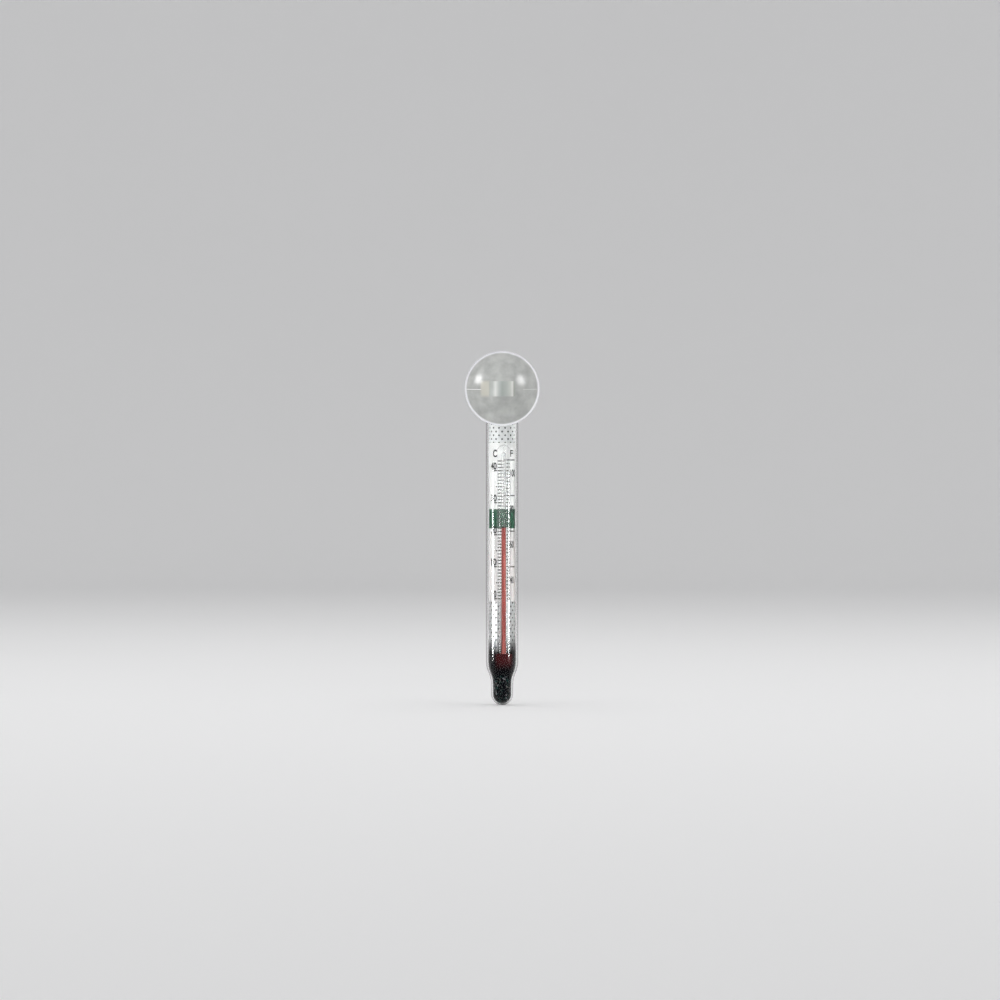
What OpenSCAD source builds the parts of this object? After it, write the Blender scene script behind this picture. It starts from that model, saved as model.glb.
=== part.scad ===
// Sealed glass aquarium thermometer held by a suction cup.
// Z runs up the tube. The origin is the centre of the suction cup's rim, which faces -Y.

/* [Outer tube] */
// Outside diameter of the glass tube
tube_od = 10; // [9.6:0.1:12]
// Wall thickness of the glass tube
tube_wall = 0.65; // [0.5:0.05:0.8]
// Length of the tube from its sealed top to the end of its tip
tube_length = 109; // [90:1:140]
// Height of the tube's sealed top above the centre of the suction cup
tube_above_cup = 10.6; // [8:0.2:20]
// Outside diameter of the narrow tip
tip_od = 6.8; // [6.4:0.1:8.2]
// Length of the shoulder between the tube and its tip
shoulder_length = 7.5; // [6.2:0.1:10]
// Length of the narrow tip below the shoulder
tip_length = 6.4; // [5:0.1:12]

/* [Suction cup] */
// Diameter of the suction cup
cup_d = 23.1; // [19:0.1:28]
// Depth of the suction cup from its rim to its back
cup_depth = 6.2; // [5:0.1:8]
// Wall thickness at the middle of the cup
cup_wall = 1.2; // [0.9:0.1:1.6]
// Width of the flat land round the rim
lip_width = 0.6; // [0.4:0.05:1]
// Height of the rim's straight edge
lip_height = 0.4; // [0.2:0.05:0.8]
// Width of the neck between the cup and its collar
neck_width = 8; // [6:0.1:9]
// Gap between the back of the cup and the collar
neck_gap = 1; // [0.5:0.1:4]
// Wall thickness of the collar
collar_wall = 1.45; // [1:0.05:2]
// Height of the collar and of the neck
collar_height = 4.7; // [3.5:0.1:7]
// Radial clearance between the collar and the tube
collar_clearance = 0.05; // [0.02:0.01:0.09]

/* [Capillary stem] */
// Outside diameter of the capillary stem
stem_od = 4.2; // [3.6:0.1:5]
// Diameter of the bore that the spirit climbs
bore_d = 0.9; // [0.4:0.05:1.2]
// Outside diameter of the bulb
bulb_od = 5.4; // [5:0.1:5.6]
// Wall thickness of the bulb
bulb_wall = 0.4; // [0.3:0.05:0.6]
// Sideways offset of the stem from the middle of the tube
stem_side = 0.5; // [0:0.05:0.6]
// Offset of the stem towards the back of the tube
stem_back = 1.05; // [0.8:0.05:1.1]
// Distance from the top of the card down to the top of the stem
stem_top_gap = 0.6; // [0.2:0.1:5]

/* [Scale card] */
// Length of the card
card_length = 49.5; // [48:0.5:56]
// Distance from the top of the tube down to the card
card_below_top = 27.2; // [24:0.1:30]
// Thickness of the card
card_thickness = 0.12; // [0.08:0.01:0.18]
// Thickness of the backing liner
liner_thickness = 0.1; // [0.06:0.01:0.14]
// Distance that the liner laps forward past the middle of the tube
liner_lap = 0.9; // [0:0.1:1.5]
// Distance between two degrees Celsius
degree_pitch = 1; // [0.9:0.01:1.05]
// Distance from the card's lower edge up to the 0 C mark
zero_above_edge = 0.8; // [0.4:0.1:3]
// Temperature that the spirit shows, in C
reading = 22.6; // [0:0.1:43]
// Lowest temperature of the comfort band, in C
comfort_low = 22; // [15:1:24]
// Highest temperature of the comfort band, in C
comfort_high = 28; // [25:1:32]

/* [Ballast] */
// Diameter of a ballast ball
shot_d = 1.08; // [0.8:0.02:1.1]
// Height of the resin's top above the start of the shoulder
resin_above_shoulder = 1.6; // [1:0.1:3]
// Thickness of the resin below the bulb
resin_under_bulb = 0.3; // [0.2:0.1:1]
// Distance from the end of the bulb down to the start of the tip
bulb_above_tip = 3.1; // [3:0.1:4]

/* [Hidden] */
$fn = 96;

// Tube
tube_r = tube_od / 2;
tip_r = tip_od / 2;
inner_r = tube_r - tube_wall;
top_z = tube_above_cup;
end_z = top_z - tube_length;
tip_z = end_z + tip_length;
shoulder_z = tip_z + shoulder_length;
shoulder_drop = tube_r - tip_r;
// Radius of the two equal curves, one out and one in, that form the shoulder
bend_r = (shoulder_length ^ 2 + shoulder_drop ^ 2) / (4 * shoulder_drop);

// Suction cup
cup_r = cup_d / 2;
hollow_depth = cup_depth - cup_wall;
hollow_rim_r = cup_r - lip_width;
back_height = cup_depth - lip_height;
back_r = (cup_r ^ 2 + back_height ^ 2) / (2 * back_height);
hollow_r = (hollow_rim_r ^ 2 + hollow_depth ^ 2) / (2 * hollow_depth);
neck_root = 0.9 * cup_wall; // how far the neck runs into the cup's wall
neck_start = cup_depth - neck_root;
neck_round = 1;
collar_bore_r = tube_r + collar_clearance;
collar_r = collar_bore_r + collar_wall;
tube_y = cup_depth + neck_gap + collar_r;

// Capillary stem and bulb
stem_r = stem_od / 2;
bore_r = bore_d / 2;
bulb_r = bulb_od / 2;
bulb_chamfer = bulb_r - stem_r;
resin_top_z = shoulder_z + resin_above_shoulder;
bulb_end_z = tip_z + bulb_above_tip;
bulb_centre_z = bulb_end_z + bulb_r;
reservoir_r = bulb_r - bulb_wall;
funnel_height = 1.6;
funnel_top_z = resin_top_z + bulb_wall;
bore_end_gap = 2.4;

// Card, liner and scale
slip = 0.05; // gap between sheets and between a sheet and the glass
liner_r = inner_r - slip;
card_top_z = top_z - card_below_top;
card_bottom_z = card_top_z - card_length;
stem_top_z = card_top_z - stem_top_gap;
card_half = liner_r - liner_thickness - slip;
// The card bows behind the stem. Its arc runs through its two edges and just clears the stem,
// so bow_y, from the middle of the tube to the arc's centre, solves a quadratic.
stem_reach = stem_r + slip + card_thickness;
bow_sum = card_half ^ 2 + stem_reach ^ 2 - stem_side ^ 2 - stem_back ^ 2;
bow_a = 4 * (stem_back ^ 2 - stem_reach ^ 2);
bow_b = 4 * bow_sum * stem_back;
bow_c = bow_sum ^ 2 - 4 * stem_reach ^ 2 * card_half ^ 2;
bow_y = (sqrt(bow_b ^ 2 - 4 * bow_a * bow_c) - bow_b) / (2 * bow_a);
card_r = norm([card_half, bow_y]);
card_y = tube_y + bow_y;
card_face_r = card_r - card_thickness;
ink = 0.02;
zero_z = card_bottom_z + zero_above_edge;
meniscus_z = zero_z + reading * degree_pitch;
mark_height = 0.32;
// Each line runs out from a gap beside the stem's axis to its reach
c_gap = 0.2;
c_reach = 2.1;
c_reach_five = 2.5;
c_reach_ten = 3.2;
f_gap = 0.3;
f_reach = 0.5;
f_reach_long = 3.5;
heading_height = 5.7; // room on the card above the top mark
last_c = floor((card_length - zero_above_edge - heading_height) / degree_pitch);
first_f = 32;
f_per_c = 1.8;
last_f = 2 * floor((first_f + f_per_c * (last_c + 0.5)) / 2);

// Resin and shot
resin_bottom_z = bulb_end_z - resin_under_bulb;
shot_r = shot_d / 2;
shot_gap = 0.01;
shot_pitch = shot_d + shot_gap;
tip_centre_z = end_z + tip_r;
// Distance from the tip's axis to the centre of a ball at its wall
shot_reach = tip_r - tube_wall - shot_r - 2 * shot_gap;
shot_rings = floor(shot_reach / shot_pitch);
shot_bottom_z = tip_centre_z - shot_reach;
shot_layers = floor((resin_bottom_z - shot_r - shot_bottom_z) / shot_pitch);
layer_turn = 17; // each layer of balls is turned this much from the one below

// Height of a Celsius or a Fahrenheit mark
function c_z(c) = zero_z + c * degree_pitch;
function f_z(f) = c_z((f - first_f) / f_per_c);

// Half of the tube's section, from the axis out, narrower by inset all the way down
module tube_half(inset) {
    shank_r = tube_r - inset;
    end_r = tip_r - inset;
    join_z = (tip_z + shoulder_z) / 2;
    join_r = (shank_r + end_r) / 2;
    intersection() {
        translate([0, top_z - tube_r]) circle(shank_r);
        translate([0, top_z - tube_r]) square([shank_r, shank_r]);
    }
    translate([0, shoulder_z]) square([shank_r, top_z - tube_r - shoulder_z]);
    intersection() {
        translate([shank_r - bend_r, shoulder_z]) circle(bend_r);
        translate([0, join_z]) square([shank_r, shoulder_z - join_z]);
    }
    difference() {
        translate([0, tip_z]) square([join_r, join_z - tip_z]);
        translate([end_r + bend_r, tip_z]) circle(bend_r);
    }
    translate([0, tip_centre_z]) square([end_r, tip_z - tip_centre_z]);
    intersection() {
        translate([0, tip_centre_z]) circle(end_r);
        translate([0, tip_centre_z - end_r]) square([end_r, end_r]);
    }
}

// Half section of the bulb: a chamfered shoulder at the top and a round end
module bulb_half(r, high_z) {
    translate([0, bulb_centre_z]) square([r, high_z - bulb_chamfer - bulb_centre_z]);
    polygon([
        [0, high_z - bulb_chamfer],
        [r, high_z - bulb_chamfer],
        [r - bulb_chamfer, high_z],
        [0, high_z]
    ]);
    intersection() {
        translate([0, bulb_centre_z]) circle(r);
        translate([0, bulb_centre_z - r]) square([r, r]);
    }
}

// Half section of the room for the spirit inside the bulb
module reservoir_half() {
    cone_z = funnel_top_z - funnel_height;
    translate([0, bulb_centre_z]) square([reservoir_r, cone_z - bulb_centre_z]);
    polygon([[0, cone_z], [reservoir_r, cone_z], [bore_r, funnel_top_z], [0, funnel_top_z]]);
    intersection() {
        translate([0, bulb_centre_z]) circle(reservoir_r);
        translate([0, bulb_centre_z - reservoir_r]) square([reservoir_r, reservoir_r]);
    }
}

module at_tube() {
    translate([0, tube_y, 0]) children();
}

module at_stem() {
    translate([stem_side, tube_y + stem_back, 0]) children();
}

// A sheet on part of a cylinder, kept only behind the plane y = front
module bowed_sheet(outer_r, thickness, centre_y, front, bottom_z, height) {
    intersection() {
        translate([0, centre_y, bottom_z]) difference() {
            cylinder(r = outer_r, h = height);
            translate([0, 0, -1]) cylinder(r = outer_r - thickness, h = height + 2);
        }
        translate([-tube_r, front, bottom_z - 1]) cube([tube_od, tube_od, height + 2]);
    }
}

// The layer of ink on the front of the card
module ink_layer() {
    bowed_sheet(card_face_r, ink, card_y, tube_y, card_bottom_z, card_length);
}

// A printed line from x = from to x = to, centred on z
module mark(from, to, z) {
    translate([from, tube_y, z - mark_height / 2]) cube([to - from, tube_r, mark_height]);
}

module celsius_lines() {
    for (c = [0 : last_c]) {
        reach = c % 10 == 0 ? c_reach_ten : c % 5 == 0 ? c_reach_five : c_reach;
        mark(stem_side - reach, stem_side - c_gap, c_z(c));
    }
}

module fahrenheit_lines() {
    for (f = [first_f : 2 : last_f]) {
        reach = f % 20 == 10 ? f_reach_long : f_reach;
        mark(stem_side + f_gap, stem_side + reach, f_z(f));
    }
}

module rounded_rectangle(width, height, round_r) {
    square([width - 2 * round_r, height], center = true);
    square([width, height - 2 * round_r], center = true);
    for (x = [-1, 1], y = [-1, 1])
        translate([x * (width / 2 - round_r), y * (height / 2 - round_r)]) circle(round_r);
}

module suction_cup() {
    color("gainsboro") difference() {
        union() {
            rotate([-90, 0, 0]) intersection() {
                translate([0, 0, cup_depth - back_r]) sphere(back_r);
                cylinder(r = cup_r, h = cup_depth);
            }
            translate([0, neck_start, 0]) rotate([-90, 0, 0])
                linear_extrude(tube_y - tube_r / 2 - neck_start)
                    rounded_rectangle(neck_width, collar_height, neck_round);
            at_tube() cylinder(r = collar_r, h = collar_height, center = true);
        }
        translate([0, hollow_depth - hollow_r, 0]) sphere(hollow_r);
        at_tube() cylinder(r = collar_bore_r, h = collar_height + 2, center = true);
    }
}

module outer_tube() {
    color("lightcyan") at_tube() rotate_extrude() difference() {
        tube_half(0);
        tube_half(tube_wall);
    }
}

module backing_liner() {
    height = top_z - tube_r - resin_top_z - 2 * slip;
    color("silver")
        bowed_sheet(liner_r, liner_thickness, tube_y, tube_y - liner_lap, resin_top_z + slip, height);
}

module scale_card() {
    color("white")
        bowed_sheet(card_r, card_thickness, card_y, tube_y, card_bottom_z, card_length);
}

module comfort_band() {
    color("darkgreen") difference() {
        intersection() {
            ink_layer();
            translate([-tube_r, tube_y, c_z(comfort_low)])
                cube([tube_od, tube_r, (comfort_high - comfort_low) * degree_pitch]);
        }
        celsius_lines();
        fahrenheit_lines();
    }
}

module celsius_marks() {
    color("dimgray") intersection() {
        ink_layer();
        celsius_lines();
    }
}

module fahrenheit_marks() {
    color("dimgray") intersection() {
        ink_layer();
        fahrenheit_lines();
    }
}

module capillary_stem() {
    color("aliceblue") at_stem() difference() {
        union() {
            translate([0, 0, resin_top_z - bulb_chamfer])
                cylinder(r = stem_r, h = stem_top_z - stem_r - resin_top_z + bulb_chamfer);
            translate([0, 0, stem_top_z - stem_r]) sphere(stem_r);
            rotate_extrude() bulb_half(bulb_r, resin_top_z);
        }
        rotate_extrude() reservoir_half();
        translate([0, 0, funnel_top_z]) cylinder(r = bore_r, h = stem_top_z - bore_end_gap - funnel_top_z);
    }
}

module spirit_reservoir() {
    color("darkred") at_stem() rotate_extrude() reservoir_half();
}

module spirit_thread() {
    color("firebrick") at_stem()
        translate([0, 0, funnel_top_z]) cylinder(r = bore_r, h = meniscus_z - funnel_top_z);
}

module ballast_resin() {
    color("maroon") difference() {
        at_tube() rotate_extrude() intersection() {
            tube_half(tube_wall);
            translate([0, resin_bottom_z]) square([tube_r, resin_top_z - resin_bottom_z]);
        }
        at_stem() rotate_extrude() bulb_half(bulb_r, resin_top_z);
    }
}

// Balls in stacked layers of rings, each kept only where it lies inside the tip
module ballast_shot() {
    color("darkslategray") at_tube() for (layer = [0 : shot_layers], ring = [0 : shot_rings]) {
        z = shot_bottom_z + layer * shot_pitch;
        ring_r = ring * shot_reach / shot_rings;
        below = min(0, z - tip_centre_z);
        count = ring == 0 ? 1 : floor(180 / asin(shot_pitch / 2 / ring_r));
        if (norm([ring_r, below]) < shot_reach + shot_gap)
            for (i = [0 : count - 1])
                rotate([0, 0, 360 * i / count + layer_turn * layer])
                    translate([ring_r, 0, z]) sphere(shot_r);
    }
}

suction_cup();
outer_tube();
backing_liner();
scale_card();
comfort_band();
celsius_marks();
fahrenheit_marks();
capillary_stem();
spirit_reservoir();
spirit_thread();
ballast_resin();
ballast_shot();
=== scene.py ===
import math

import bpy
import mathutils
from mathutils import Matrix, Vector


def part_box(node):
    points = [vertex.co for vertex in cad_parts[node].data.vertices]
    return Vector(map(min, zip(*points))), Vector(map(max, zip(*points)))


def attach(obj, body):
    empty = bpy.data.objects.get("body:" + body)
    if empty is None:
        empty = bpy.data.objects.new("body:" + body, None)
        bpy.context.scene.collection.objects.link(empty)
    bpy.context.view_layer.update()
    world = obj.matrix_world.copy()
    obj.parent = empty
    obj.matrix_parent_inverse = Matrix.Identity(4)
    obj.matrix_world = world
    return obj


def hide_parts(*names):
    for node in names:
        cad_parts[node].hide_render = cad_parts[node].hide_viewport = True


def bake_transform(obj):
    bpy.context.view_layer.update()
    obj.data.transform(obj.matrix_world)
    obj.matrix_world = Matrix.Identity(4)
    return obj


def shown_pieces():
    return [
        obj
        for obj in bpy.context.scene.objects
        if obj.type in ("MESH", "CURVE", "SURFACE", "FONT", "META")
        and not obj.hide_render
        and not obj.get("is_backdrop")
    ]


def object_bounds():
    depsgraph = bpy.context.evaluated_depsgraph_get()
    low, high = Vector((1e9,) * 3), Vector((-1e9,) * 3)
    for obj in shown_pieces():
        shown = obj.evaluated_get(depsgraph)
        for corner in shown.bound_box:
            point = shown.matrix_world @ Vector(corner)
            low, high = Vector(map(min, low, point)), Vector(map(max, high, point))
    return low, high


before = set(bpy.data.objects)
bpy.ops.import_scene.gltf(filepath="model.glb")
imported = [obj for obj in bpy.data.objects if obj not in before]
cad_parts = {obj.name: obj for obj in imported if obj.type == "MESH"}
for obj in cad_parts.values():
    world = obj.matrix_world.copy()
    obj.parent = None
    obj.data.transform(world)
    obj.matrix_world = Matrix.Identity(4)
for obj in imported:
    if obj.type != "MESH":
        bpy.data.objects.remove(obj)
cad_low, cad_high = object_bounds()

# Outer tube. One length of thin drawn glass tubing, closed to a round dome at the top and
# worked down in the flame to a narrower round tip at the bottom. Everything else but the
# suction cup is sealed inside it.
mm = 0.001
upright = (0, 0, 1)
hair = 0.001 * mm
crease = math.radians(35)
tube_low, tube_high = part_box("outer_tube")
tube_x = (tube_low.x + tube_high.x) / 2
tube_y = (tube_low.y + tube_high.y) / 2
tube_r = (tube_high.x - tube_low.x) / 2
tube_axis = (tube_x, tube_y, 0)
tube_wall = 0.65 * mm
tip_r = 3.4 * mm
tip_wall = 0.48 * mm
dome_z = tube_high.z - tube_r
shoulder_top = tube_low.z + 13.9 * mm
shoulder_drop = 7.5 * mm
tube_steps = 160
striae_depth = 0.0003 * mm


def arc(across, along, radius, start, end, pieces):
    """Points of an arc, as distance from the axis and place along it."""
    turn = [math.radians(start + (end - start) * i / pieces) for i in range(pieces + 1)]
    return [(across + radius * math.cos(a), along + radius * math.sin(a)) for a in turn]


def straight(radius, start, end, pieces):
    """Points down a straight side, without the first, which the piece above it gives."""
    return [(radius, start + (end - start) * i / pieces) for i in range(1, pieces + 1)]


def turned(name, outline, centre, axis, steps, inwards=False):
    """A shell made by drawing an outline point by point and spinning it about an axis."""
    place = [centre[i] + axis[i] * outline[0][1] for i in range(3)]
    place[0] += outline[0][0]
    bpy.ops.object.select_all(action="DESELECT")
    bpy.ops.mesh.primitive_plane_add(size=mm, location=place)
    shell = bpy.context.object
    shell.name = name
    bpy.ops.object.transform_apply(location=True, rotation=True, scale=True)
    bpy.ops.object.mode_set(mode="EDIT")
    bpy.ops.mesh.select_all(action="SELECT")
    bpy.ops.mesh.merge(type="CENTER")
    for (r0, s0), (r1, s1) in zip(outline, outline[1:]):
        step = [axis[i] * (s1 - s0) for i in range(3)]
        step[0] += r1 - r0
        bpy.ops.mesh.extrude_region_move(TRANSFORM_OT_translate={"value": step})
    bpy.ops.mesh.select_all(action="SELECT")
    bpy.ops.mesh.spin(
        steps=steps, angle=2 * math.pi, center=centre, axis=axis, use_auto_merge=False
    )
    bpy.ops.mesh.select_all(action="SELECT")
    bpy.ops.mesh.remove_doubles(threshold=hair)
    bpy.ops.mesh.normals_make_consistent(inside=inwards)
    bpy.ops.object.mode_set(mode="OBJECT")
    bpy.ops.object.shade_smooth_by_angle(angle=crease)
    return shell


def joined(name, pieces):
    """Several meshes made one."""
    bpy.ops.object.select_all(action="DESELECT")
    for piece in pieces:
        piece.select_set(True)
    bpy.context.view_layer.objects.active = pieces[0]
    bpy.ops.object.join()
    pieces[0].name = name
    return pieces[0]


def tube_outline(shank, end):
    """The tube's section from the top of its dome to the bottom of its tip."""
    side = shank - end
    bend = (shoulder_drop**2 + side**2) / (4 * side)
    sweep = math.degrees(math.asin(shoulder_drop / 2 / bend))
    outline = arc(0, dome_z, shank, 90, 0, 24)
    outline += straight(shank, dome_z, shoulder_top, 12)[:-1]
    outline += arc(shank - bend, shoulder_top, bend, 0, -sweep, 10)
    outline += arc(end + bend, shoulder_top - shoulder_drop, bend, 180 - sweep, 180, 10)[1:]
    outline += arc(0, tube_low.z + tip_r, end, 0, -90, 20)
    return outline


def nodes_of(finish, shader_inputs):
    """A new node material and its tree, with plain numbers set on the shader's own sockets."""
    material = bpy.data.materials.new(finish)
    material.use_nodes = True
    tree = material.node_tree
    shader = tree.nodes["Principled BSDF"]
    for socket, value in shader_inputs.items():
        shader.inputs[socket].default_value = value
    return material, tree, shader


def noise_on(tree, stretch, detail):
    """Noise laid on the piece's own coordinates, stretched by the three numbers given."""
    place = tree.nodes.new("ShaderNodeTexCoord")
    mapping = tree.nodes.new("ShaderNodeMapping")
    mapping.inputs["Scale"].default_value = stretch
    noise = tree.nodes.new("ShaderNodeTexNoise")
    noise.inputs["Scale"].default_value = 1.0
    noise.inputs["Detail"].default_value = detail
    tree.links.new(place.outputs["Object"], mapping.inputs["Vector"])
    tree.links.new(mapping.outputs["Vector"], noise.inputs["Vector"])
    return noise.outputs["Fac"]


def shaded(tree, pattern, stops):
    """Turns a pattern into colour, by colours set at places from 0 to 1 along a ramp."""
    ramp = tree.nodes.new("ShaderNodeValToRGB")
    shades = ramp.color_ramp.elements
    for shade, (place, colour) in zip(shades, (stops[0], stops[-1])):
        shade.position = place
        shade.color = (*colour, 1)
    for place, colour in stops[1:-1]:
        shades.new(place).color = (*colour, 1)
    tree.links.new(pattern, ramp.inputs["Fac"])
    return ramp.outputs["Color"]


def bumped(tree, shader, height, depth):
    """Turns a height pattern into fine relief on the shader's normal."""
    bump = tree.nodes.new("ShaderNodeBump")
    bump.inputs["Strength"].default_value = 1.0
    bump.inputs["Distance"].default_value = depth
    tree.links.new(height, bump.inputs["Height"])
    tree.links.new(bump.outputs["Normal"], shader.inputs["Normal"])


def lets_lamps_through(tree, shader, edge_shade=1.0):
    """Glass that light passes on its way in, less so along its edges, where it bends away."""
    path = tree.nodes.new("ShaderNodeLightPath")
    passing = tree.nodes.new("ShaderNodeBsdfTransparent")
    if edge_shade < 1:
        slant = tree.nodes.new("ShaderNodeLayerWeight")
        slant.inputs["Blend"].default_value = 0.5
        dimming = ((0.05, (1, 1, 1)), (0.3, (edge_shade, edge_shade, edge_shade)))
        dimmed = shaded(tree, slant.outputs["Facing"], dimming)
        tree.links.new(dimmed, passing.inputs["Color"])
    either = tree.nodes.new("ShaderNodeMixShader")
    tree.links.new(path.outputs["Is Shadow Ray"], either.inputs["Fac"])
    tree.links.new(shader.outputs["BSDF"], either.inputs[1])
    tree.links.new(passing.outputs["BSDF"], either.inputs[2])
    tree.links.new(either.outputs["Shader"], tree.nodes["Material Output"].inputs["Surface"])


def coated(piece, *materials):
    """Gives a piece its finish or finishes."""
    piece.data.materials.clear()
    for material in materials:
        piece.data.materials.append(material)


skin_outline = tube_outline(tube_r, tip_r)
bore_outline = tube_outline(tube_r - tube_wall, tip_r - tip_wall)
outside = turned("outer_glass_tube", skin_outline, tube_axis, upright, tube_steps)
inside = turned("tube_bore", bore_outline, tube_axis, upright, tube_steps, inwards=True)
skin_faces = len(outside.data.polygons)
outer_glass = joined("outer_glass_tube", [outside, inside])
tube_finishes = []
for finish, shine in (("drawn_tube_glass", 1.0), ("tube_bore_glass", 0.12)):
    tube_finish, tube_tree, tube_shader = nodes_of(
        finish,
        {
            "Base Color": (0.995, 0.997, 0.996, 1),
            "Transmission Weight": 1.0,
            "IOR": 1.5,
            "Roughness": 0.06,
            "Specular Tint": (shine, shine, shine, 1),
        },
    )
    bumped(tube_tree, tube_shader, noise_on(tube_tree, (260, 260, 14), 2), striae_depth)
    lets_lamps_through(tube_tree, tube_shader)
    tube_finishes.append(tube_finish)
coated(outer_glass, *tube_finishes)
for i, face in enumerate(outer_glass.data.polygons):
    face.material_index = 0 if i < skin_faces else 1
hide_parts("outer_tube")
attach(outer_glass, "thermometer")

# Backing liner. A thin silvered plastic sheet embossed with rows of pinpricks, rolled to
# line the back of the tube behind the card. It hides what is behind the thermometer.
liner_low, liner_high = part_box("backing_liner")
liner_outer_r = liner_high.y - tube_y
liner_thickness = 0.1 * mm
liner_half_turn = math.acos((liner_low.y - tube_y) / liner_outer_r)
prick_across = 1.0 * mm
prick_along = 2.33 * mm
prick_r = 0.32 * mm
prick_core = 0.6 * prick_r
fine_across = 3
fine_along = 6
# Heights over which the liner fades to near-black: partly resin crept up the sheet, partly
# painted shade and dark reflection.
creep_and_shade_low = -83.0 * mm
creep_and_shade_high = -76.5 * mm
silvering_top = -20 * mm
silvering_full = -50 * mm


def flat_grid(name, left, right, low, high, columns, rows):
    """A flat sheet facing the front, divided into columns and rows."""
    bpy.ops.object.select_all(action="DESELECT")
    bpy.ops.mesh.primitive_grid_add(
        x_subdivisions=columns,
        y_subdivisions=rows,
        size=1,
        location=((left + right) / 2, 0, (low + high) / 2),
        rotation=(math.pi / 2, 0, 0),
    )
    sheet = bpy.context.object
    sheet.name = name
    sheet.scale = (right - left, high - low, 1)
    bpy.ops.object.transform_apply(location=True, rotation=True, scale=True)
    return sheet


def thickened(sheet, depth):
    """Gives a flat sheet its thickness, and closes it."""
    bpy.ops.object.select_all(action="DESELECT")
    sheet.select_set(True)
    bpy.context.view_layer.objects.active = sheet
    bpy.ops.object.mode_set(mode="EDIT")
    bpy.ops.mesh.select_all(action="SELECT")
    bpy.ops.mesh.remove_doubles(threshold=hair)
    bpy.ops.mesh.extrude_region_move(TRANSFORM_OT_translate={"value": (0, depth, 0)})
    bpy.ops.mesh.select_all(action="SELECT")
    bpy.ops.mesh.normals_make_consistent(inside=False)
    bpy.ops.object.mode_set(mode="OBJECT")


def rolled(sheet, radius, centre_y):
    """Rolls a flat sheet about an upright line, so that its edges come forward."""
    bpy.ops.object.select_all(action="DESELECT")
    sheet.select_set(True)
    bpy.context.view_layer.objects.active = sheet
    roll = sheet.modifiers.new("roll", "SIMPLE_DEFORM")
    roll.deform_method = "BEND"
    roll.deform_axis = "Z"
    roll.angle = -sheet.dimensions.x / radius
    bpy.ops.object.modifier_apply(modifier=roll.name)
    bpy.ops.transform.translate(value=(tube_x, centre_y + radius, 0))
    bpy.ops.object.transform_apply(location=True, rotation=True, scale=True)
    bpy.ops.object.shade_smooth_by_angle(angle=crease)


def place_on(tree):
    """The piece's own coordinates, taken apart."""
    place = tree.nodes.new("ShaderNodeTexCoord")
    split = tree.nodes.new("ShaderNodeSeparateXYZ")
    tree.links.new(place.outputs["Object"], split.inputs["Vector"])
    return split.outputs


def spread(tree, value, start, end, low=0.0, high=1.0, eased=True):
    """Spreads a value from one range over another, gently at both ends if eased."""
    node = tree.nodes.new("ShaderNodeMapRange")
    if eased:
        node.interpolation_type = "SMOOTHSTEP"
    node.inputs["From Min"].default_value = start
    node.inputs["From Max"].default_value = end
    node.inputs["To Min"].default_value = low
    node.inputs["To Max"].default_value = high
    tree.links.new(value, node.inputs["Value"])
    return node.outputs["Result"]


def fed(tree, socket, source):
    """Feeds a socket from a pattern, or sets it to a plain number or colour."""
    if isinstance(source, bpy.types.NodeSocket):
        tree.links.new(source, socket)
    else:
        socket.default_value = source


def laid_over(tree, mask, under, over):
    """Lays one colour over another where a mask says."""
    layer = tree.nodes.new("ShaderNodeMix")
    layer.data_type = "RGBA"
    fed(tree, layer.inputs["Factor"], mask)
    fed(tree, layer.inputs["A"], under)
    fed(tree, layer.inputs["B"], over)
    return layer.outputs["Result"]


liner_face_r = liner_outer_r - liner_thickness
liner_half_width = liner_half_turn * liner_face_r
liner_columns = 2 * round(liner_half_width / prick_across * fine_across)
liner_rows = round((liner_high.z - liner_low.z) / prick_along * fine_along)
liner = flat_grid(
    "dotted_backing_liner",
    -liner_half_width,
    liner_half_width,
    liner_low.z,
    liner_high.z,
    liner_columns,
    liner_rows,
)
column_step = 2 * liner_half_width / liner_columns
row_step = (liner_high.z - liner_low.z) / liner_rows
bpy.ops.object.mode_set(mode="EDIT")
bpy.ops.mesh.select_all(action="DESELECT")
bpy.ops.object.mode_set(mode="OBJECT")
pricks = []
for point in liner.data.vertices:
    column = round((point.co.x + liner_half_width) / column_step)
    row = round((point.co.z - liner_low.z) / row_step)
    lane = column // fine_across
    stagger = lane % 2 * fine_along // 2
    on_lane = column % fine_across == fine_across // 2
    on_prick = (row + stagger) % fine_along == fine_along // 2
    if on_lane and on_prick and 0 < row < liner_rows:
        point.select = True
        pricks.append(point.co.copy())
bpy.ops.object.mode_set(mode="EDIT")
bpy.ops.mesh.bevel(
    offset=prick_r, offset_type="OFFSET", segments=2, profile=0.12, affect="VERTICES"
)
bpy.ops.object.mode_set(mode="OBJECT")
liner.data.materials.append(None)
liner.data.materials.append(None)
prick_places = mathutils.kdtree.KDTree(len(pricks))
for i, place in enumerate(pricks):
    prick_places.insert(place, i)
prick_places.balance()
for face in liner.data.polygons:
    distance = prick_places.find(face.center)[2]
    face.material_index = 1 if distance < prick_core else 0
thickened(liner, liner_thickness)
rolled(liner, liner_face_r, tube_y)
liner_finish, liner_tree, liner_shader = nodes_of("silvered_liner_sheet", {"Roughness": 0.3})
liner_z = place_on(liner_tree)["Z"]
liner_mottle = noise_on(liner_tree, (900, 900, 900), 3)
silver = shaded(
    liner_tree,
    spread(liner_tree, liner_mottle, 0.0, 1.0, 0.42, 0.78, eased=False),
    ((0.0, (0.44, 0.46, 0.47)), (1.0, (0.95, 0.96, 0.95))),
)
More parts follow.
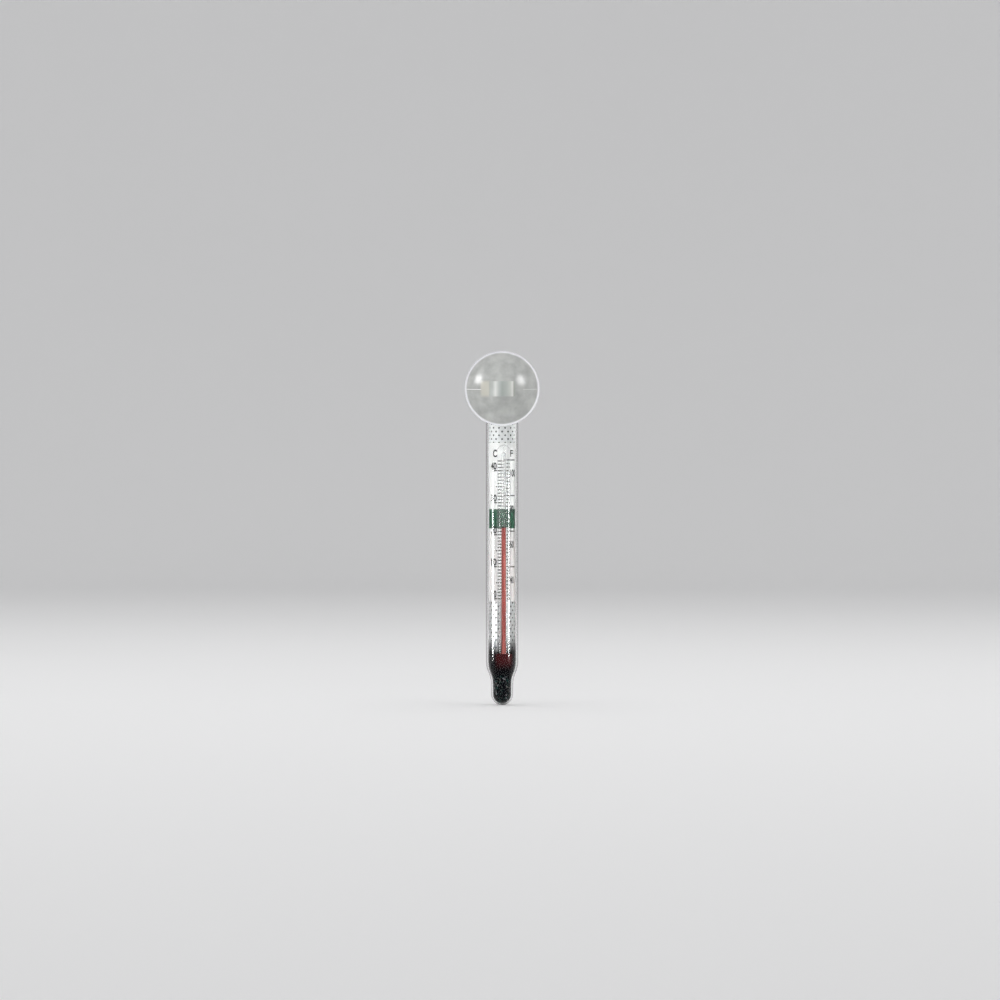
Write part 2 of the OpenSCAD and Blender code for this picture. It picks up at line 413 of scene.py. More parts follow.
# Painted shade: below these heights the liner is painted near-black, partly for resin creep and
# partly for the shade and dark reflection of the resin.
above_creep_and_shade = spread(liner_tree, liner_z, creep_and_shade_low, creep_and_shade_high)
liner_colour = laid_over(liner_tree, above_creep_and_shade, (0.012, 0.008, 0.01, 1), silver)
liner_metal = spread(liner_tree, liner_z, silvering_top, silvering_full, 0.03, 0.6)
liner_tree.links.new(liner_colour, liner_shader.inputs["Base Color"])
liner_tree.links.new(liner_metal, liner_shader.inputs["Metallic"])
bumped(liner_tree, liner_shader, liner_mottle, 0.01 * mm)
# Painted shade: the flat prick faces are painted near-black for the shade in each pinprick.
prick_shade_finish, prick_tree, prick_shader = nodes_of("liner_pinprick_painted_shade", {"Roughness": 0.6})
prick_shade_colour = shaded(
    prick_tree,
    noise_on(prick_tree, (2500, 2500, 2500), 2),
    ((0.0, (0.008, 0.012, 0.014)), (1.0, (0.035, 0.042, 0.045))),
)
prick_tree.links.new(prick_shade_colour, prick_shader.inputs["Base Color"])
liner.data.materials[0] = liner_finish
liner.data.materials[1] = prick_shade_finish
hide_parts("backing_liner")
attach(liner, "thermometer")

# Scale card. A strip of white plastic card, rolled into the front of the liner and held by
# its own spring, with its long edges at the widest part of the tube.
card_low, card_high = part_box("scale_card")
card_thickness = 0.12 * mm
card_half = (card_high.x - card_low.x) / 2
card_edge_y = card_low.y
card_depth = card_high.y - card_edge_y
card_outer_r = (card_half**2 + card_depth**2) / (2 * card_depth)
card_face_r = card_outer_r - card_thickness
card_axis_y = card_high.y - card_outer_r
card_half_turn = math.acos((card_edge_y - card_axis_y) / card_outer_r)
card_columns = 96
card_rows = 24
card = flat_grid(
    "white_scale_card",
    -card_half_turn * card_face_r,
    card_half_turn * card_face_r,
    card_low.z,
    card_high.z,
    card_columns,
    card_rows,
)
thickened(card, card_thickness)
rolled(card, card_face_r, card_axis_y)
card_finish, card_tree, card_shader = nodes_of(
    "white_plastic_card",
    {"Roughness": 0.42, "Specular IOR Level": 0.4},
)
card_grain = noise_on(card_tree, (1400, 1400, 500), 4)
card_colour = shaded(
    card_tree, card_grain, ((0.3, (0.82, 0.825, 0.82)), (0.7, (0.90, 0.90, 0.89)))
)
card_tree.links.new(card_colour, card_shader.inputs["Base Color"])
bumped(card_tree, card_shader, card_grain, 0.004 * mm)
coated(card, card_finish)
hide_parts("scale_card")
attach(card, "thermometer")

# Comfort band. A block of green ink printed across the card at the warmth that tropical
# fish like, before the black scale goes on.
ink_depth = 0.02 * mm
band_depth = 0.7 * ink_depth
band_low, band_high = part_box("comfort_band")
band_seen_half = (band_high.x - band_low.x) / 2
band_half = math.asin(band_seen_half / (card_face_r - ink_depth)) * card_face_r
band = flat_grid(
    "green_comfort_band", -band_half, band_half, band_low.z, band_high.z, card_columns, 8
)
thickened(band, -band_depth)
rolled(band, card_face_r, card_axis_y)
band_finish, band_tree, band_shader = nodes_of("green_printing_ink", {"Roughness": 0.38})
band_colour = shaded(
    band_tree,
    noise_on(band_tree, (3000, 3000, 3000), 3),
    ((0.35, (0.018, 0.085, 0.045)), (0.7, (0.032, 0.125, 0.07))),
)
band_tree.links.new(band_colour, band_shader.inputs["Base Color"])
coated(band, band_finish)
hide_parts("comfort_band")
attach(band, "thermometer")

# Celsius scale. Black ink strokes a degree apart on the left of the card, longer at each
# five and ten, with the letter and the tens printed beside them.
degree = 1.0 * mm
zero_z = card_low.z + 0.8 * mm
stroke = 0.36 * mm
stroke_corner = 0.05 * mm
stroke_piece = 0.25 * mm
celsius_degrees = 44
type_size = 3 * mm
type_weight = 0.1 * mm
letter_width = 1.6 * mm
digit_height = 2.3 * mm
digit_width = 1.13 * mm
digit_gap = 0.16 * mm
digit_lift = 0.3 * mm
slice_width = 0.2 * mm


def on_card(x):
    """How far round the card a place lies that is seen at x from the front."""
    return math.asin(x / card_face_r) * card_face_r


def strokes(name, seen_left, seen_right, first_z, pitch, count):
    """A column of like strokes, drawn once with rounded corners and repeated up the card."""
    left = on_card(seen_left)
    right = on_card(seen_right)
    pieces = max(2, round((right - left) / stroke_piece))
    row = flat_grid(name, left, right, first_z - stroke / 2, first_z + stroke / 2, pieces, 1)
    bpy.ops.object.mode_set(mode="EDIT")
    bpy.ops.mesh.select_all(action="DESELECT")
    bpy.ops.object.mode_set(mode="OBJECT")
    for point in row.data.vertices:
        point.select = point.co.x < left + hair or point.co.x > right - hair
    bpy.ops.object.mode_set(mode="EDIT")
    bpy.ops.mesh.bevel(offset=stroke_corner, segments=2, affect="VERTICES")
    bpy.ops.object.mode_set(mode="OBJECT")
    repeat = row.modifiers.new("repeat", "ARRAY")
    repeat.use_relative_offset = False
    repeat.use_constant_offset = True
    repeat.constant_offset_displace = (0, 0, pitch)
    repeat.count = count
    bpy.ops.object.modifier_apply(modifier=repeat.name)
    return row


def label(words, seen_left, low, width, height):
    """Flat lettering of a given width and height, its left edge and foot placed on the card."""
    bpy.ops.object.select_all(action="DESELECT")
    bpy.ops.object.text_add(rotation=(math.pi / 2, 0, 0))
    text = bpy.context.object
    text.data.body = words
    text.data.size = type_size
    text.data.resolution_u = 4
    text.data.offset = type_weight
    bpy.ops.object.convert(target="MESH")
    text = bpy.context.object
    bpy.ops.object.transform_apply(location=True, rotation=True, scale=True)
    text.scale = (width / text.dimensions.x, 1, height / text.dimensions.z)
    bpy.ops.object.transform_apply(location=True, rotation=True, scale=True)
    least_x = min(point.co.x for point in text.data.vertices)
    least_z = min(point.co.z for point in text.data.vertices)
    bpy.ops.transform.translate(value=(on_card(seen_left) - least_x, 0, low - least_z))
    bpy.ops.object.transform_apply(location=True, rotation=True, scale=True)
    return text


def number(value, seen_left, low, narrowing=1.0):
    """A number in figures, standing a little above its stroke."""
    words = str(value)
    width = len(words) * digit_width * narrowing + (len(words) - 1) * digit_gap
    return label(words, seen_left, low + digit_lift, width, digit_height)


def cut_up(lettering, pitch):
    """Cuts flat lettering into narrow upright slices, so that it rolls with the card."""
    bpy.ops.object.select_all(action="DESELECT")
    lettering.select_set(True)
    bpy.context.view_layer.objects.active = lettering
    least = min(point.co.x for point in lettering.data.vertices)
    most = max(point.co.x for point in lettering.data.vertices)
    bpy.ops.object.mode_set(mode="EDIT")
    for i in range(1, round((most - least) / pitch)):
        bpy.ops.mesh.select_all(action="SELECT")
        bpy.ops.mesh.bisect(
            plane_co=(least + i * pitch, 0, 0), plane_no=(1, 0, 0), threshold=0.1 * hair
        )
    bpy.ops.object.mode_set(mode="OBJECT")


def printed(name, flat_pieces, slices=None):
    """Flat strokes or lettering joined, given the ink's depth and rolled onto the card."""
    print_layer = joined(name, flat_pieces)
    if slices:
        cut_up(print_layer, slices)
    thickened(print_layer, -ink_depth)
    rolled(print_layer, card_face_r, card_axis_y)
    return print_layer


celsius_ticks = printed(
    "celsius_scale_lines",
    [
        strokes("celsius_degree", -1.6 * mm, 0.3 * mm, zero_z, degree, celsius_degrees),
        strokes("celsius_five", -2.0 * mm, -1.5 * mm, zero_z + 5 * degree, 10 * degree, 4),
        strokes("celsius_ten", -2.7 * mm, -1.5 * mm, zero_z, 10 * degree, 5),
    ],
)
celsius_letter = label("C", -2.95 * mm, -21.1 * mm, letter_width, height=2.4 * mm)
celsius_numbers = [celsius_letter]
for tens in range(0, 50, 10):
    start = -3.52 * mm if tens else -2.75 * mm
    celsius_numbers.append(number(tens, start, zero_z + tens * degree))
celsius_lettering = printed("celsius_numerals", celsius_numbers, slice_width)
ink_finish, ink_tree, ink_shader = nodes_of("black_printing_ink", {"Roughness": 0.4})
ink_colour = shaded(
    ink_tree,
    noise_on(ink_tree, (4000, 4000, 4000), 3),
    ((0.0, (0.006, 0.008, 0.008)), (1.0, (0.03, 0.035, 0.035))),
)
ink_tree.links.new(ink_colour, ink_shader.inputs["Base Color"])
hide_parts("celsius_marks")
for black_print in (celsius_ticks, celsius_lettering):
    coated(black_print, ink_finish)
    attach(black_print, "thermometer")

# Fahrenheit scale. The same ink on the right of the card: a short stroke every two degrees,
# a long one at each odd ten, and the even tens in figures.
fahrenheit = degree / 1.8
short_start = 0.8 * mm
twenty_pitch = 20 * fahrenheit
fahrenheit_ticks = printed(
    "fahrenheit_scale_lines",
    [
        strokes("fahrenheit_two", short_start, 0.93 * mm, zero_z, 2 * fahrenheit, 40),
        strokes(
            "fahrenheit_twenty",
            short_start,
            3.95 * mm,
            zero_z + 18 * fahrenheit,
            twenty_pitch,
            4,
        ),
    ],
)
fahrenheit_letter = label("F", 2.45 * mm, -20.95 * mm, letter_width, height=2.1 * mm)
fahrenheit_numbers = [fahrenheit_letter]
for value in range(40, 120, 20):
    foot = zero_z + (value - 32) * fahrenheit
    fahrenheit_numbers.append(number(value, 2.48 * mm, foot, narrowing=0.8))
fahrenheit_lettering = printed("fahrenheit_numerals", fahrenheit_numbers, slice_width)
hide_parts("fahrenheit_marks")
for black_print in (fahrenheit_ticks, fahrenheit_lettering):
    coated(black_print, ink_finish)
    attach(black_print, "thermometer")

# Capillary stem. A solid glass rod with a hair-fine bore, its lower end blown into a thin
# bulb and its upper end closed round. It stands against the card, a little to the right.
stem_low, stem_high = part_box("capillary_stem")
bore_low, bore_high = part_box("spirit_thread")
stem_r = 2.1 * mm
stem_x = (stem_low.x + stem_high.x) / 2
stem_y = (stem_low.y + stem_high.y) / 2
stem_axis = (stem_x, stem_y, 0)
stem_dome_z = stem_high.z - stem_r
bore_r = (bore_high.x - bore_low.x) / 2
bore_top = stem_high.z - 2.4 * mm
bulb_r = (stem_high.x - stem_low.x) / 2
bulb_wall = 0.4 * mm
bulb_centre = stem_low.z + bulb_r
bulb_top = bore_low.z
bulb_shoulder = 0.4 * mm
stem_fillet = 0.3 * mm


def bowl(radius):
    """The side and round bottom of the bulb's hollow, and of the spirit that fills it."""
    side = [(radius - 0.2 * mm, bulb_top - 1.4 * mm), (radius, bulb_top - 1.6 * mm)]
    return side + arc(0, bulb_centre, radius, 0, -90, 18)


stem_outline = arc(0, stem_dome_z, stem_r, 90, 0, 16)
stem_outline += straight(stem_r, stem_dome_z, bulb_top + 2 * stem_fillet, 12)
stem_outline += arc(
    stem_r + stem_fillet, bulb_top + stem_fillet, stem_fillet, 180, 270, 6
)[1:-1]
stem_outline += arc(
    bulb_r - bulb_shoulder, bulb_top - bulb_shoulder, bulb_shoulder, 70, 0, 6
)
stem_outline += arc(0, bulb_centre, bulb_r, 0, -90, 18)
hollow_outline = arc(0, bore_top - bore_r, bore_r, 90, 0, 8)
hollow_outline += straight(bore_r, bore_top, bulb_top, 12)
hollow_outline += bowl(bulb_r - bulb_wall)
stem_skin = turned("capillary_glass_stem", stem_outline, stem_axis, upright, 96)
stem_bore = turned("stem_bore", hollow_outline, stem_axis, upright, 64, inwards=True)
stem = joined("capillary_glass_stem", [stem_skin, stem_bore])
stem_finish, stem_tree, stem_shader = nodes_of(
    "capillary_stem_glass",
    {
        "Base Color": (0.985, 0.992, 0.99, 1),
        "Transmission Weight": 1.0,
        "IOR": 1.5,
        "Roughness": 0.05,
    },
)
bumped(stem_tree, stem_shader, noise_on(stem_tree, (420, 420, 10), 2), striae_depth)
lets_lamps_through(stem_tree, stem_shader, edge_shade=0.4)
coated(stem, stem_finish)
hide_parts("capillary_stem")
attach(stem, "thermometer")

# Spirit. Alcohol dyed red fills the bulb and stands in the bore as a thread, which grows
# and shrinks with the warmth of the water. Its round top is painted near-black, a painted shade
# for its dark look.
wetting = 0.012 * mm
thread_r = bore_r + wetting
crown_z = bore_high.z - bore_r * 0.5
crown_flatness = 0.5
meniscus_foot = bore_high.z - 0.5 * mm
reservoir_outline = [(0, bulb_top), (thread_r, bulb_top)]
reservoir_outline += bowl(bulb_r - bulb_wall + wetting)
reservoir = turned("spirit_in_bulb", reservoir_outline, stem_axis, upright, 64)
thread_outline = [
    (r, crown_z + (z - crown_z) * crown_flatness)
    for r, z in arc(0, crown_z, thread_r, 90, 0, 6)
]
thread_outline += [(thread_r, meniscus_foot)]
thread_outline += straight(thread_r, crown_z, bulb_top, 60)
thread_outline += [(0, bulb_top)]
thread = turned("spirit_column", thread_outline, stem_axis, upright, 32)
spirit_finish, spirit_tree, spirit_shader = nodes_of(
    "red_dyed_spirit",
    {"Roughness": 0.25, "IOR": 1.36, "Specular IOR Level": 0.2},
)
spirit_colour = shaded(
    spirit_tree,
    noise_on(spirit_tree, (2400, 2400, 90), 3),
    ((0.3, (0.25, 0.035, 0.028)), (0.7, (0.56, 0.15, 0.125))),
)
spirit_tree.links.new(spirit_colour, spirit_shader.inputs["Base Color"])
# Painted shade: the meniscus is painted near-black for the dark look of its curved top.
meniscus_shade_finish, meniscus_tree, meniscus_shader = nodes_of(
    "spirit_meniscus_painted_shade", {"Roughness": 0.25, "IOR": 1.36}
)
meniscus_shade_colour = shaded(
    meniscus_tree,
    noise_on(meniscus_tree, (1800, 1800, 1800), 3),
    ((0.0, (0.02, 0.008, 0.008)), (1.0, (0.06, 0.02, 0.018))),
)
meniscus_tree.links.new(meniscus_shade_colour, meniscus_shader.inputs["Base Color"])
coated(reservoir, spirit_finish)
coated(thread, spirit_finish, meniscus_shade_finish)
for face in thread.data.polygons:
    face.material_index = 1 if face.center.z > meniscus_foot else 0
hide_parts("spirit_reservoir")
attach(reservoir, "thermometer")
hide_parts("spirit_thread")
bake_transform(thread)

# Ballast. Fine dark shot fills the tip so that the tube hangs or floats upright, and dark
# resin poured on it soaks down among the shot and holds it and the bulb still.
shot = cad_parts["ballast_shot"]
resin_low, resin_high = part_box("ballast_resin")
slip = 0.02 * mm
soak = 0.09 * mm


def worked(tree, operation, first, second=None):
    """Two values, or a value by itself, worked on by arithmetic."""
    node = tree.nodes.new("ShaderNodeMath")
    node.operation = operation
    fed(tree, node.inputs[0], first)
    if second is not None:
        fed(tree, node.inputs[1], second)
    return node.outputs["Value"]


def speckled(tree, cells_a_metre, stops):
    """Small cells like grains, each with one of a ramp's colours."""
    place = tree.nodes.new("ShaderNodeTexCoord")
    cells = tree.nodes.new("ShaderNodeTexVoronoi")
    cells.inputs["Scale"].default_value = cells_a_metre
    tree.links.new(place.outputs["Object"], cells.inputs["Vector"])
    split = tree.nodes.new("ShaderNodeSeparateColor")
    tree.links.new(cells.outputs["Color"], split.inputs["Color"])
    return shaded(tree, split.outputs["Red"], stops)


shot_finish, shot_tree, shot_shader = nodes_of(
    "dark_ballast_shot",
    {"Metallic": 0.25, "Roughness": 0.3, "Specular IOR Level": 0.35},
)
shot_colours = (
    (0.0, (0.004, 0.007, 0.009)),
    (0.3, (0.006, 0.022, 0.02)),
    (0.55, (0.010, 0.014, 0.034)),
    (0.8, (0.035, 0.018, 0.012)),
    (1.0, (0.12, 0.11, 0.13)),
)
shot_colour = speckled(shot_tree, 1700, shot_colours)
shot_tree.links.new(shot_colour, shot_shader.inputs["Base Color"])
shot.material_slots[0].material = shot_finish
resin_side = [(r - slip, z) for r, z in bore_outline if resin_low.z < z < resin_high.z]
rim_r = resin_side[0][0]
creep_round = 0.6 * mm
resin_outline = [
    (0, resin_high.z),
    (stem_r + 0.8 * mm, resin_high.z),
    (rim_r - 1.0 * mm, resin_high.z),
]
resin_outline += arc(
    rim_r - creep_round, resin_high.z + creep_round, creep_round, -80, -5, 6
)
resin_outline += [(rim_r, resin_high.z + 0.55 * mm)]
resin_outline += resin_side
soaked = [(max(r - soak, 0), z) for r, z in bore_outline if z < resin_low.z]
resin_outline += soaked[:-4] + [(0, soaked[-4][1] + soak)]
resin = turned("dark_resin", resin_outline, tube_axis, upright, tube_steps)
resin_finish, resin_tree, resin_shader = nodes_of(
    "wine_dark_resin",
    {"Roughness": 0.5, "Specular IOR Level": 0.05},
)
resin_place = place_on(resin_tree)
# Painted light: the resin is painted dark red around the bulb, standing for the red spirit
# glowing through it, and near-black elsewhere.
from_bulb = worked(resin_tree, "SUBTRACT", resin_place["X"], stem_x)
sideways = worked(resin_tree, "ABSOLUTE", from_bulb)
painted_spirit_glow = worked(
    resin_tree,
    "MULTIPLY",
    spread(resin_tree, sideways, bulb_r + 0.3 * mm, bulb_r - 0.9 * mm),
    spread(resin_tree, resin_place["Z"], stem_low.z + 1.2 * mm, resin_high.z - 0.8 * mm),
)
resin_colour = shaded(
    resin_tree, painted_spirit_glow, ((0.0, (0.003, 0.003, 0.004)), (1.0, (0.045, 0.007, 0.008)))
)
grain_colours = (
    (0.0, (0.001, 0.001, 0.002)),
    (0.68, (0.001, 0.002, 0.004)),
    (0.80, (0.008, 0.040, 0.034)),
    (0.92, (0.06, 0.05, 0.045)),
    (1.0, (0.19, 0.19, 0.21)),
)
grain_colour = speckled(resin_tree, 2400, grain_colours)
among_shot = spread(
    resin_tree, resin_place["Z"], resin_low.z + 0.8 * mm, resin_low.z - 1.0 * mm
)
resin_colour = laid_over(resin_tree, among_shot, resin_colour, grain_colour)
resin_tree.links.new(resin_colour, resin_shader.inputs["Base Color"])
coated(resin, resin_finish)
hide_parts("ballast_resin")
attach(resin, "thermometer")

# Suction cup. Soft milky plastic moulded in one shot: a shallow cup that grips the tank
# wall, a short neck behind it, and a springy collar that the tube is pushed through.
cup_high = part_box("suction_cup")[1]
cup_r = cup_high.x
lip_width = 0.6 * mm
lip_height = 0.4 * mm
lip_round = 0.18 * mm
lip_bevel = 0.05 * mm
cup_back = 6.2 * mm
cup_hollow = 5.0 * mm
neck_front = 5.3 * mm
neck_half_width = 4.0 * mm
neck_corner = 1.0 * mm
collar_bore_r = tube_r + 0.05 * mm
collar_r = cup_high.y - tube_y
collar_half = 2.35 * mm
collar_round = 0.35 * mm
flash = 0.06 * mm


def dish(edge_r, edge_y, depth_y, pieces):
    """Points along a shallow round dish, from its middle to its edge."""
    rise = depth_y - edge_y
    radius = (edge_r**2 + rise**2) / (2 * rise)
    half = math.asin(edge_r / radius)
    turn = [half * i / pieces for i in range(pieces + 1)]
    return [(radius * math.sin(a), depth_y - radius * (1 - math.cos(a))) for a in turn]


cup_outline = dish(cup_r - lip_width, 0, cup_hollow, 28)[:-1]
cup_outline += [(cup_r - lip_width + lip_bevel, 0.0)]
cup_outline += arc(cup_r - lip_round, lip_round, lip_round, -90, 0, 5)
cup_outline += dish(cup_r, lip_height, cup_back, 30)[:-1][::-1]
cup_body = turned("suction_cup_moulding", cup_outline, (0, 0, 0), (0, 1, 0), 160)

corner_z = collar_half - collar_round
inner_corner = collar_bore_r + collar_round
outer_corner = collar_r - collar_round
collar_outline = arc(inner_corner, -corner_z, collar_round, 180, 270, 5)
collar_outline += arc(outer_corner, -corner_z, collar_round, -90, 0, 5)
collar_outline += [(collar_r, -flash), (collar_r + flash * 0.5, 0), (collar_r, flash)]
collar_outline += arc(outer_corner, corner_z, collar_round, 0, 90, 5)
collar_outline += arc(inner_corner, corner_z, collar_round, 90, 180, 5)
collar_outline += [collar_outline[0]]
collar = turned("collar", collar_outline, tube_axis, upright, 128)

neck_middle = (0, neck_front, 0)
bpy.ops.object.select_all(action="DESELECT")
bpy.ops.mesh.primitive_plane_add(size=1, location=neck_middle, rotation=(math.pi / 2, 0, 0))
neck = bpy.context.object
neck.name = "neck"
neck.scale = (2 * neck_half_width, 2 * collar_half, 1)
bpy.ops.object.transform_apply(location=True, rotation=True, scale=True)
bpy.ops.object.mode_set(mode="EDIT")
bpy.ops.mesh.select_all(action="SELECT")
bpy.ops.mesh.bevel(offset=neck_corner, segments=5, affect="VERTICES")
bpy.ops.mesh.select_all(action="SELECT")
bpy.ops.transform.resize(value=(1.07, 1, 1.1), center_override=neck_middle)
for forward, taper in ((0.3, 0.97), (0.3, 0.975), (0.5, 0.99), (1.6, 1.0), (0.7, 1.0)):
    bpy.ops.mesh.extrude_region_move(TRANSFORM_OT_translate={"value": (0, forward * mm, 0)})
    bpy.ops.transform.resize(value=(taper, 1, taper), center_override=(0, 0, 0))
bpy.ops.mesh.select_all(action="SELECT")
bpy.ops.mesh.normals_make_consistent(inside=False)
bpy.ops.object.mode_set(mode="OBJECT")

for part in (neck, collar):
    bpy.ops.object.select_all(action="DESELECT")
    cup_body.select_set(True)
    bpy.context.view_layer.objects.active = cup_body
    fuse = cup_body.modifiers.new("moulded_together", "BOOLEAN")
    fuse.operation = "UNION"
    fuse.solver = "EXACT"
    fuse.object = part
    bpy.ops.object.modifier_apply(modifier=fuse.name)
    bpy.data.objects.remove(part)
bpy.ops.object.shade_smooth_by_angle(angle=crease)
cup_finish, cup_tree, cup_shader = nodes_of(
    "milky_soft_plastic",
    {
        "Roughness": 0.24,
        "IOR": 1.5,
        "Subsurface Weight": 0.2,
        "Subsurface Radius": (1.0, 0.95, 0.9),
        "Subsurface Scale": 1.0 * mm,
    },
)


def within(tree, value, limit, soft):
    """One where a value's size is under a limit, falling softly to nothing past it."""
    return spread(tree, worked(tree, "ABSOLUTE", value), limit + soft, limit - soft)


cup_place = place_on(cup_tree)
cup_noise = noise_on(cup_tree, (350, 350, 350), 4)
cup_colour = shaded(
    cup_tree, cup_noise, ((0.3, (0.47, 0.48, 0.47)), (0.7, (0.63, 0.64, 0.62)))
)
# Painted shade: the left of the cup beside the neck is painted darker for the collar's shade,
# and the neck shows as a window painted with bands of highlight and shade.
beside_neck = (collar_r + neck_half_width) / 2
beside_neck_half = (collar_r - neck_half_width) / 2 + 0.1 * mm
from_beside = worked(cup_tree, "ADD", cup_place["X"], beside_neck)
# Painted shade: the mask where the collar's shade is painted on the cup.
painted_collar_shade = worked(
    cup_tree,
    "MULTIPLY",
    within(cup_tree, from_beside, beside_neck_half, 0.5 * mm),
    within(cup_tree, cup_place["Z"], collar_half, 0.6 * mm),
)
cup_colour = laid_over(cup_tree, painted_collar_shade, cup_colour, (0.70, 0.685, 0.62, 1))
painted_neck_window = worked(
    cup_tree,
    "MULTIPLY",
    within(cup_tree, cup_place["X"], neck_half_width, 0.1 * mm),
    within(cup_tree, cup_place["Z"], collar_half, 0.1 * mm),
)
# Painted highlights and shade: the light bands stand for the tube's highlights seen through the
# neck, the darker ones for shade.
neck_painted_highlights = (
    (0.0, (0.57, 0.59, 0.56)),
    (0.13, (0.62, 0.65, 0.63)),
    (0.24, (0.90, 0.91, 0.89)),
    (0.36, (0.64, 0.67, 0.65)),
    (0.50, (0.50, 0.54, 0.52)),
    (0.70, (0.58, 0.61, 0.58)),
    (0.82, (0.72, 0.74, 0.70)),
    (0.90, (0.98, 0.98, 0.95)),
    (0.95, (0.56, 0.58, 0.53)),
    (1.0, (0.47, 0.50, 0.47)),
)
neck_across = spread(
    cup_tree, cup_place["X"], -neck_half_width, neck_half_width, eased=False
)
neck_painted_light = shaded(cup_tree, neck_across, neck_painted_highlights)
cup_colour = laid_over(cup_tree, painted_neck_window, cup_colour, neck_painted_light)
# The mould's parting line runs across the middle, outside the collar; it is painted white as
# its highlight, fainter on the right.
off_parting = worked(cup_tree, "ADD", cup_place["Z"], 0.25 * mm)
over_collar = within(cup_tree, cup_place["X"], collar_r, 0.2 * mm)
parting_line_and_highlight = worked(
    cup_tree,
    "MULTIPLY",
    within(cup_tree, off_parting, 0.07 * mm, 0.05 * mm),
    worked(cup_tree, "SUBTRACT", 1.0, over_collar),
)
# Painted highlight: the parting line's whiteness fades from left to right.
parting_highlight_fade = spread(cup_tree, cup_place["X"], -collar_r, collar_r, 1.0, 0.4, eased=False)
parting_line_and_highlight = worked(cup_tree, "MULTIPLY", parting_line_and_highlight, parting_highlight_fade)
cup_colour = laid_over(cup_tree, parting_line_and_highlight, cup_colour, (0.95, 0.96, 0.97, 1))
# The lip is thicker and less clear than the dish, and painted whiter as a painted highlight on
# its rim.
across_cup = cup_tree.nodes.new("ShaderNodeCombineXYZ")
cup_tree.links.new(cup_place["X"], across_cup.inputs["X"])
cup_tree.links.new(cup_place["Z"], across_cup.inputs["Z"])
from_middle = cup_tree.nodes.new("ShaderNodeVectorMath")
from_middle.operation = "LENGTH"
cup_tree.links.new(across_cup.outputs["Vector"], from_middle.inputs[0])
lip_and_rim_highlight = spread(cup_tree, from_middle.outputs["Value"], cup_r - 0.85 * mm, cup_r - 0.35 * mm)
cup_colour = laid_over(cup_tree, lip_and_rim_highlight, cup_colour, (0.68, 0.68, 0.71, 1))
cup_tree.links.new(cup_colour, cup_shader.inputs["Base Color"])
thick = worked(cup_tree, "MAXIMUM", parting_line_and_highlight, lip_and_rim_highlight)
clearness = spread(cup_tree, thick, 0.0, 1.0, 0.42, 0.15, eased=False)
cup_tree.links.new(clearness, cup_shader.inputs["Transmission Weight"])
bumped(cup_tree, cup_shader, cup_noise, 0.02 * mm)
coated(cup_body, cup_finish)
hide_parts("suction_cup")
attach(cup_body, "cup")

# Studio. A pale round cove under and behind the thermometer, two upright strip lamps for the
# glass's long highlights, a small lamp each side for the cup's, a fill from the front right
# and a wide soft lamp above.
floor_z = cad_low.z
cove_r = 1.9
cove_bend = 0.1
cove_wall = 1.2
bend_pieces = 12
bpy.ops.object.select_all(action="DESELECT")
bpy.ops.mesh.primitive_circle_add(
    vertices=96, radius=cove_r, fill_type="NGON", location=(0, 0, floor_z)
)
cove = bpy.context.object
cove.name = "pale_studio_cove"
bpy.ops.object.transform_apply(location=True, rotation=True, scale=True)
bpy.ops.object.mode_set(mode="EDIT")
bpy.ops.mesh.select_mode(type="FACE")
bpy.ops.mesh.select_all(action="SELECT")
bpy.ops.mesh.region_to_loop()
for i in range(bend_pieces):
    turn = math.radians(90 / bend_pieces * (i + 0.5))
    rise = cove_bend * math.sin(turn)
    bpy.ops.mesh.extrude_edges_move(TRANSFORM_OT_translate={"value": (0, 0, rise)})
    wide = 1 + cove_bend * math.cos(turn) / cove_r
    bpy.ops.transform.resize(value=(wide, wide, 1), center_override=(0, 0, 0))
bpy.ops.mesh.extrude_edges_move(TRANSFORM_OT_translate={"value": (0, 0, cove_wall)})
bpy.ops.mesh.select_mode(type="VERT")
bpy.ops.object.mode_set(mode="OBJECT")
bpy.ops.object.shade_smooth_by_angle(angle=crease)
cove_finish, cove_tree, cove_shader = nodes_of(
    "pale_cove_paint",
    {"Roughness": 0.9, "Specular IOR Level": 0.1},
)
cove_colour = shaded(
    cove_tree,
    noise_on(cove_tree, (3, 3, 3), 2),
    ((0.0, (0.93, 0.93, 0.935)), (1.0, (0.95, 0.95, 0.955))),
)
cove_tree.links.new(cove_colour, cove_shader.inputs["Base Color"])
coated(cove, cove_finish)
cove.visible_glossy = False
cove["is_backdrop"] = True

world = bpy.data.worlds.new("soft_studio_air")
bpy.context.scene.world = world
world.use_nodes = True
air = world.node_tree.nodes["Background"]
air.inputs["Color"].default_value = (1.0, 1.0, 1.0, 1)
air.inputs["Strength"].default_value = 0.56
world.cycles_visibility.glossy = False


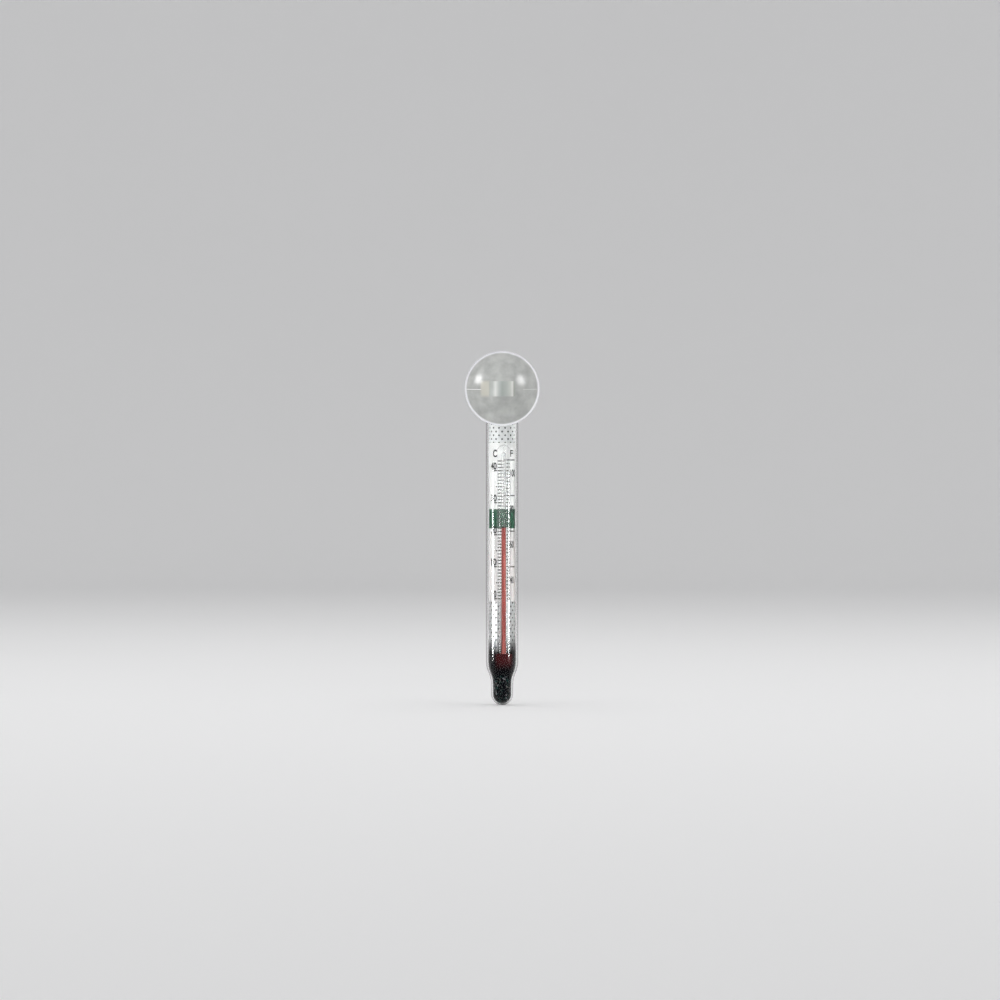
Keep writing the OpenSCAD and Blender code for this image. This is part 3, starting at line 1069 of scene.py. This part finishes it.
def lamp(name, azimuth, distance, height, width, tall, power, tilt=0.0):
    """A soft flat lamp, placed round the object and turned to face it."""
    turn = math.radians(azimuth)
    bpy.ops.object.light_add(
        type="AREA",
        location=(distance * math.sin(turn), -distance * math.cos(turn), height),
        rotation=(math.pi / 2 + tilt, 0, turn),
    )
    box = bpy.context.object
    box.name = name
    box.data.shape = "RECTANGLE"
    box.data.size = width
    box.data.size_y = tall
    box.data.energy = power
    box.visible_camera = False
    return box


def lights_only(name, lamps, pieces):
    """Keeps some lamps to some pieces, so that they don't glow on the rest."""
    lit = bpy.data.collections.new(name)
    for piece in pieces:
        lit.objects.link(piece)
    for box in lamps:
        box.light_linking.receiver_collection = lit


near = 0.2
strip_bottom = floor_z + 5 * mm
strip_top = -25 * mm
strip_z = (strip_bottom + strip_top) / 2
strip_tall = strip_top - strip_bottom
left_strip = lamp("left_strip_lamp", -73, near, strip_z, 0.036, strip_tall, power=0.19)
right_strip = lamp("right_strip_lamp", 52, near, strip_z, 0.024, strip_tall, power=0.125)
front_fill = lamp("front_fill_lamp", 24, 1.2, 0.2, 0.3, 0.3, power=2.9, tilt=-0.18)
front_fill.visible_glossy = False
cup_right = lamp("cup_right_lamp", 63, near, -81 * mm, 0.06, 0.09, power=0.33)
cup_left = lamp("cup_left_lamp", -48.5, near, -75 * mm, 0.055, 0.085, power=0.27)
lamp("overhead_soft_lamp", 0, 0.0, 1.3, 1.2, 1.2, power=8.0, tilt=-math.pi / 2)
lights_only("thermometer_pieces", (front_fill,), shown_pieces())
lights_only("cup_piece", (cup_right, cup_left), (cup_body,))
lights_only("shiny_pieces", (left_strip, right_strip), (outer_glass, liner, stem))

view_width = 311.042 * mm
eye_distance = 1.4
film_width = 36
bpy.ops.object.camera_add(
    location=(-0.65 * mm, 10 * mm - eye_distance, -34.46 * mm),
    rotation=(math.pi / 2, 0, 0),
)
eye = bpy.context.object
eye.name = "camera"
eye.data.sensor_width = film_width
eye.data.lens = film_width * eye_distance / view_width
eye.data.clip_start = 0.05
eye.data.clip_end = 20
scene = bpy.context.scene
scene.camera = eye
scene.view_settings.view_transform = "Standard"
scene.cycles.transparent_max_bounces = 24
scene.cycles.max_bounces = 16
scene.cycles.transmission_bounces = 16
